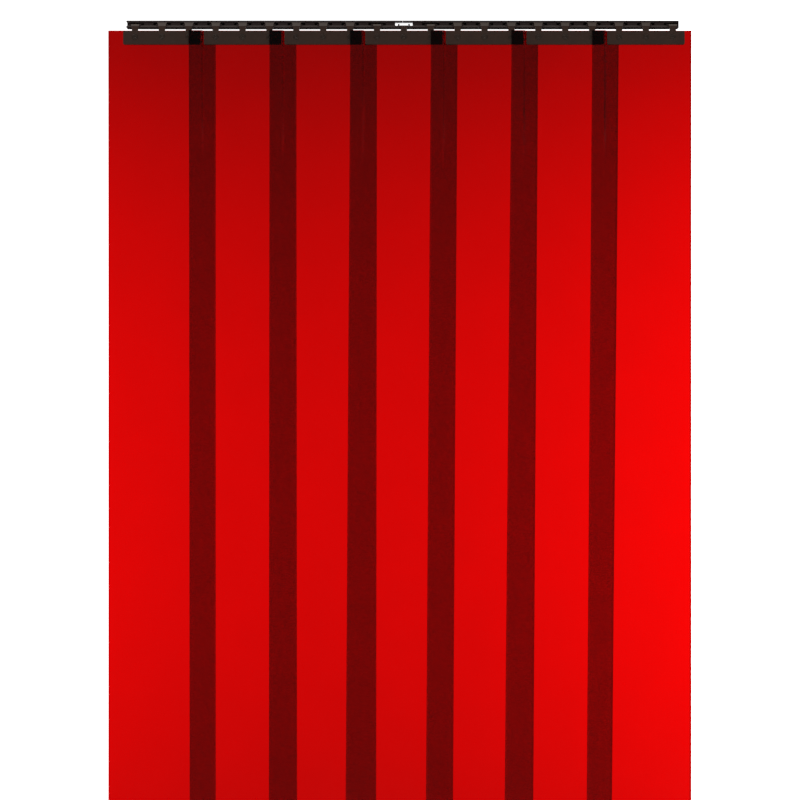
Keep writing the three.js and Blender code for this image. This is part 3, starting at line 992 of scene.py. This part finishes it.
class CURTAIN_OT_rivets(bpy.types.Operator):
    """Builds the rivets that hold each strip between its plates."""

    bl_idname = "curtain.rivets"
    bl_label = "Rivets"

    def execute(self, context):
        plastic = moulded_plastic("moulded_nylon_rivet", context.scene.curtain_colours.rivet, 0.38)
        mesh = rivet_mesh()
        mesh.shade_smooth()
        mesh.set_sharp_from_angle(angle=math.radians(40))
        for number in range(1, STRIP_COUNT + 1):
            for i, local in enumerate(LOCAL_HOOKS, 1):
                node = f"rivet_{number}_{i}"
                place = (strip_x(number) + local, BAR_Y + STRIP_OFFSET, RIVET_Z)
                placed = moved(mesh.copy(), *place)
                body = f"hung_strip_{number}"
                piece(f"moulded_{node}", placed, plastic, body, node)
        return {"FINISHED"}


# ---- Strips ----


def clamped_line(left, right, bends_left, bends_right):
    """The strip's middle line between its plates, as (x, y, angle to X) from left to right."""

    def bend(side, face_middle, margin_y):
        """One margin's double bend, from the middle of the strip outwards."""
        inner, outer = slant_x(side, face_middle, 0), slant_x(side, face_middle, margin_y)
        reach = BEND_RADIUS * math.tan(SLANT / 2)
        steps = np.linspace(0, SLANT, CORNER_STEPS + 1)
        first = [
            (
                inner + side * (BEND_RADIUS * math.sin(a) - reach),
                side * BEND_RADIUS * (1 - math.cos(a)),
                a,
            )
            for a in steps
        ]
        second = [
            (
                outer - side * (BEND_RADIUS * math.sin(a) - reach),
                margin_y - side * BEND_RADIUS * (1 - math.cos(a)),
                a,
            )
            for a in steps[::-1]
        ]
        return first + second

    front_middle, back_middle = (FRONT_FACE - INNER_FACE) / 2, (BACK_FACE + INNER_FACE) / 2
    before = bend(-1, front_middle, FRONT_MARGIN_Y)[::-1] if bends_left else []
    after = bend(1, back_middle, BACK_MARGIN_Y) if bends_right else []
    start = (left, FRONT_MARGIN_Y if bends_left else 0, 0)
    end = (right, BACK_MARGIN_Y if bends_right else 0, 0)
    return filled([start] + before + after + [end], LINE_STEP)


def filled(points, step):
    """The same points, with more between those that lie further apart than step."""
    line = points[:1]
    for a, b in zip(points, points[1:]):
        pieces = max(1, math.ceil((b[0] - a[0]) / step))
        for i in range(1, pieces + 1):
            share = i / pieces
            line.append(tuple(u + (v - u) * share for u, v in zip(a, b)))
    return line


def swell(x, z, height):
    """The slow waves that all strips share, so that they stay apart. x and z are in mm."""
    free = np.clip((PLATE_BOTTOM - z) / RELAX_LENGTH, 0, 1) ** 2
    waves = sum(
        share * np.sin(2 * np.pi * (x / across + z / down + start))
        for share, across, down, start in SWELL_WAVES
    )
    return height * free * waves / sum(wave[0] for wave in SWELL_WAVES)


def strip_levels():
    """Heights of the mesh rows from the top down, closer together where the margins bend."""
    clamp = np.linspace(STRIP_TOP, PLATE_BOTTOM, CLAMPED_ROWS)
    relax = PLATE_BOTTOM - RELAX_LENGTH * np.linspace(0, 1, RELAX_ROWS)[1:]
    hang = np.linspace(relax[-1], STRIP_BOTTOM, HANGING_ROWS)[1:]
    return np.concatenate([clamp, relax, hang])


def strip_mesh(number, wave):
    """A strip as it hangs: bent past its neighbours' plates at the top, and eased flat below.

    Below the plates each strip turns a little about its own middle, so that they lie like shingles.
    The last strip's lean fades out towards its free edge, which hangs plumb.
    """
    first, last = number == 1, number == STRIP_COUNT
    low, high = corners(f"strip_{number}")
    middle_x = strip_x(number)
    left, right = low.x - middle_x, high.x - middle_x
    line = np.array(clamped_line(left, right, not first, not last))
    turn = math.atan2(STRIP_THICKNESS + SHINGLE_GAP, STRIP_PITCH)
    half = STRIP_THICKNESS / 2
    cap = arc(EDGE_RADIUS, -90, 0, EDGE_STEPS, (0, EDGE_RADIUS - half))[1:]
    cap += arc(EDGE_RADIUS, 0, 90, EDGE_STEPS, (0, half - EDGE_RADIUS))[:-1]
    rows = []
    for z in strip_levels():
        share = min(max((PLATE_BOTTOM - z) / RELAX_LENGTH, 0), 1)
        ease = 1 - share * share * (3 - 2 * share)
        depth = max(0.0, (PLATE_BOTTOM - z) / (PLATE_BOTTOM - STRIP_BOTTOM))
        lean = -LEANS[number - 1] * depth * np.ones(len(line))
        if last:
            lean = lean * np.clip((right - line[:, 0]) / (right - left), 0, 1) ** 0.5
        x = line[:, 0] + lean
        y = line[:, 1] * ease + x * math.tan(turn) * (1 - ease)
        y = y + swell(x + middle_x, z, wave)
        angle = line[:, 2] * ease + turn * (1 - ease)
        normal = np.stack([-np.sin(angle), np.cos(angle)], 1)
        tangent = np.stack([np.cos(angle), np.sin(angle)], 1)
        middle = np.stack([x, y], 1)
        inset_left = middle[0] + tangent[0] * EDGE_RADIUS
        inset_right = middle[-1] - tangent[-1] * EDGE_RADIUS
        front = middle - normal * half
        back = middle + normal * half
        front[0], back[0] = inset_left - normal[0] * half, inset_left + normal[0] * half
        front[-1], back[-1] = inset_right - normal[-1] * half, inset_right + normal[-1] * half
        right_cap = [inset_right + tangent[-1] * u + normal[-1] * v for u, v in cap]
        left_cap = [inset_left - tangent[0] * u - normal[0] * v for u, v in cap]
        ring = np.concatenate([front, right_cap, back[::-1], left_cap])
        ring_x, ring_y = ring[:, 0] + middle_x, ring[:, 1] + STRIP_OFFSET + BAR_Y
        rows.append(np.column_stack([ring_x, ring_y, np.full(len(ring), z)]))
    count = len(rows[0])
    faces = []
    for row in range(len(rows) - 1):
        for i in range(count):
            j = (i + 1) % count
            a, b = row * count, (row + 1) * count
            faces.append((a + i, b + i, b + j, a + j))
    faces += end_faces(count, len(line), 0, False)
    faces += end_faces(count, len(line), (len(rows) - 1) * count, True)
    mesh = mesh_of(f"strip_{number}", np.concatenate(rows), faces)
    bores = []
    radius = RIVET_RADIUS + RIVET_CLEARANCE
    reach = half + OVERSHOOT / 2
    for local in LOCAL_HOOKS:
        bore = turned([(0, -reach), (radius, -reach), (radius, reach), (0, reach)])
        bores.append(moved(bore, middle_x + local, BAR_Y + STRIP_OFFSET, RIVET_Z))
    return combined(outward(mesh), together(bores), "DIFFERENCE")


def end_faces(count, across, offset, flip):
    """Quads between the front and back of the top or bottom edge, and the two round ends."""
    back = count - (count - 2 * across) // 2 - 1
    faces = [(i, i + 1, back - i - 1, back - i) for i in range(across - 1)]
    right_cap = list(range(across - 1, back - across + 2))
    left_cap = list(range(back, count)) + [0]
    faces += [tuple(right_cap), tuple(left_cap)]
    if flip:
        faces = [tuple(reversed(face)) for face in faces]
    return [tuple(i + offset for i in face) for face in faces]


class CURTAIN_OT_strips(bpy.types.Operator):
    """Builds the seven tinted strips."""

    bl_idname = "curtain.strips"
    bl_label = "Strips"

    def execute(self, context):
        colours, sizes = context.scene.curtain_colours, context.scene.curtain_sizes
        pvc = tinted_pvc("calendered_red_pvc", colours.pvc)
        for number in range(1, STRIP_COUNT + 1):
            mesh = strip_mesh(number, sizes.wave / MM)
            mesh.shade_smooth()
            mesh.set_sharp_from_angle(angle=math.radians(50))
            node = f"strip_{number}"
            made = piece(f"pvc_{node}", mesh, pvc, f"hung_strip_{number}", node)
        return {"FINISHED"}


# ---- Stage ----


def studio_world(scene):
    """Soft light from all round, brightest behind the curtain, where it shines through.

    The glow behind is brightest a little under the horizon and fades above and below that. It rises
    to both sides, more to +X. Towards the front it gives way to a weaker light, which is stronger
    from the ground.
    """
    full_glow, top_glow = 2.93, 1.3
    under_horizon, falloff = 0.04, 0.1485
    side_bend, side_tilt, side_level = 30.9, 1.67, 0.9
    dimmest, brightest = 0.85, 1.35
    front_light, ground_light = 0.4, 0.8
    ground_below, front_above = -0.2, -0.1
    front_until, glow_from = -0.2, 0.6
    world = bpy.data.worlds.new("studio")
    world.use_nodes = True
    tree = world.node_tree
    tree.nodes.clear()
    direction = add_node(tree, "ShaderNodeTexCoord").outputs["Generated"]
    axes = add_node(tree, "ShaderNodeSeparateXYZ", {"Vector": direction})
    rise = add_node(
        tree, "ShaderNodeMath", {0: axes.outputs["Z"], 1: under_horizon}, operation="ADD"
    )
    steep = add_node(tree, "ShaderNodeMath", {0: rise.outputs[0], 1: falloff}, operation="DIVIDE")
    square = add_node(tree, "ShaderNodeMath", {0: steep.outputs[0], 1: 2.0}, operation="POWER")
    upright = add_node(
        tree,
        "ShaderNodeMapRange",
        {"Value": square.outputs[0], "To Min": full_glow, "To Max": top_glow},
    )
    side = add_node(
        tree,
        "ShaderNodeMath",
        {0: axes.outputs["X"], 1: side_bend, 2: side_tilt},
        operation="MULTIPLY_ADD",
    )
    bowl = add_node(
        tree,
        "ShaderNodeMath",
        {0: side.outputs[0], 1: axes.outputs["X"], 2: side_level},
        operation="MULTIPLY_ADD",
    )
    level = add_node(
        tree,
        "ShaderNodeClamp",
        {"Value": bowl.outputs[0], "Min": dimmest, "Max": brightest},
    )
    glow = add_node(
        tree, "ShaderNodeMath", {0: upright.outputs[0], 1: level.outputs[0]}, operation="MULTIPLY"
    )
    front = add_node(
        tree,
        "ShaderNodeMapRange",
        {
            "Value": axes.outputs["Z"],
            "From Min": ground_below,
            "From Max": front_above,
            "To Min": ground_light,
            "To Max": front_light,
        },
        interpolation_type="SMOOTHSTEP",
    )
    strength = add_node(
        tree,
        "ShaderNodeMapRange",
        {
            "Value": axes.outputs["Y"],
            "From Min": front_until,
            "From Max": glow_from,
            "To Min": front.outputs["Result"],
            "To Max": glow.outputs[0],
        },
        interpolation_type="SMOOTHSTEP",
    )
    shade = add_node(
        tree,
        "ShaderNodeBackground",
        {"Color": (1.0, 1.0, 1.0, 1.0), "Strength": strength.outputs["Result"]},
    )
    add_node(tree, "ShaderNodeOutputWorld", {"Surface": shade.outputs["Background"]})
    scene.world = world


class CURTAIN_OT_stage(bpy.types.Operator):
    """Sets the floor, the lights and the camera."""

    bl_idname = "curtain.stage"
    bl_label = "Stage"

    def execute(self, context):
        scene, sizes = context.scene, context.scene.curtain_sizes
        x, y, z = FLOOR_HALF_WIDTH, FLOOR_HALF_DEPTH, STRIP_BOTTOM - FLOOR_DROP
        corners_mm = [(-x, -y, z), (x, -y, z), (x, y, z), (-x, y, z)]
        mesh = mesh_of("studio_floor", corners_mm, [(0, 1, 2, 3)])
        mesh.materials.append(painted_floor("painted_floor", scene.curtain_colours.floor))
        floor = bpy.data.objects.new("studio_floor", mesh)
        scene.collection.objects.link(floor)

        studio_world(scene)
        for name, place, size, power in LIGHTS:
            light = bpy.data.lights.new(name, "AREA")
            light.size = size
            light.energy = power
            lamp = bpy.data.objects.new(name, light)
            lamp.location = place
            aim = Vector(LIGHT_TARGET) - lamp.location
            lamp.rotation_euler = aim.to_track_quat("-Z", "Y").to_euler()
            scene.collection.objects.link(lamp)

        data = bpy.data.cameras.new("camera")
        data.sensor_width = 36
        data.lens = data.sensor_width * sizes.camera_distance / sizes.view_width
        data.clip_end = 100
        camera = bpy.data.objects.new("camera", data)
        camera_y = RAIL_FRONT * MM - sizes.camera_distance
        camera.location = (CAMERA_X * MM, camera_y, sizes.view_height)
        camera.rotation_euler = (math.pi / 2, 0, 0)
        scene.collection.objects.link(camera)
        scene.camera = camera
        scene.view_settings.view_transform = "Standard"
        return {"FINISHED"}


# ---- Panel and registration ----

OPERATORS = (
    CURTAIN_OT_stage,
    CURTAIN_OT_rail,
    CURTAIN_OT_screws,
    CURTAIN_OT_plates,
    CURTAIN_OT_rivets,
    CURTAIN_OT_strips,
)


class CURTAIN_PT_panel(bpy.types.Panel):
    """Lists the steps that build the curtain, with their sizes and colours."""

    bl_idname = "CURTAIN_PT_panel"
    bl_label = "Welding strip curtain"
    bl_space_type = "VIEW_3D"
    bl_region_type = "UI"
    bl_category = "Curtain"

    def draw(self, context):
        for group in (context.scene.curtain_sizes, context.scene.curtain_colours):
            for name in group.bl_rna.properties.keys():
                if name not in ("rna_type", "name"):
                    self.layout.prop(group, name)
        for operator in OPERATORS:
            self.layout.operator(operator.bl_idname)


CLASSES = (CurtainSizes, CurtainColours, *OPERATORS, CURTAIN_PT_panel)


def register():
    for kind in CLASSES:
        bpy.utils.register_class(kind)
    bpy.types.Scene.curtain_sizes = PointerProperty(type=CurtainSizes)
    bpy.types.Scene.curtain_colours = PointerProperty(type=CurtainColours)


def unregister():
    del bpy.types.Scene.curtain_colours
    del bpy.types.Scene.curtain_sizes
    for kind in reversed(CLASSES):
        bpy.utils.unregister_class(kind)


def main():
    register()
    bpy.ops.curtain.stage()
    bpy.ops.curtain.rail()
    bpy.ops.curtain.screws()
    bpy.ops.curtain.plates()
    bpy.ops.curtain.rivets()
    bpy.ops.curtain.strips()


if __name__ == "__main__":
    main()
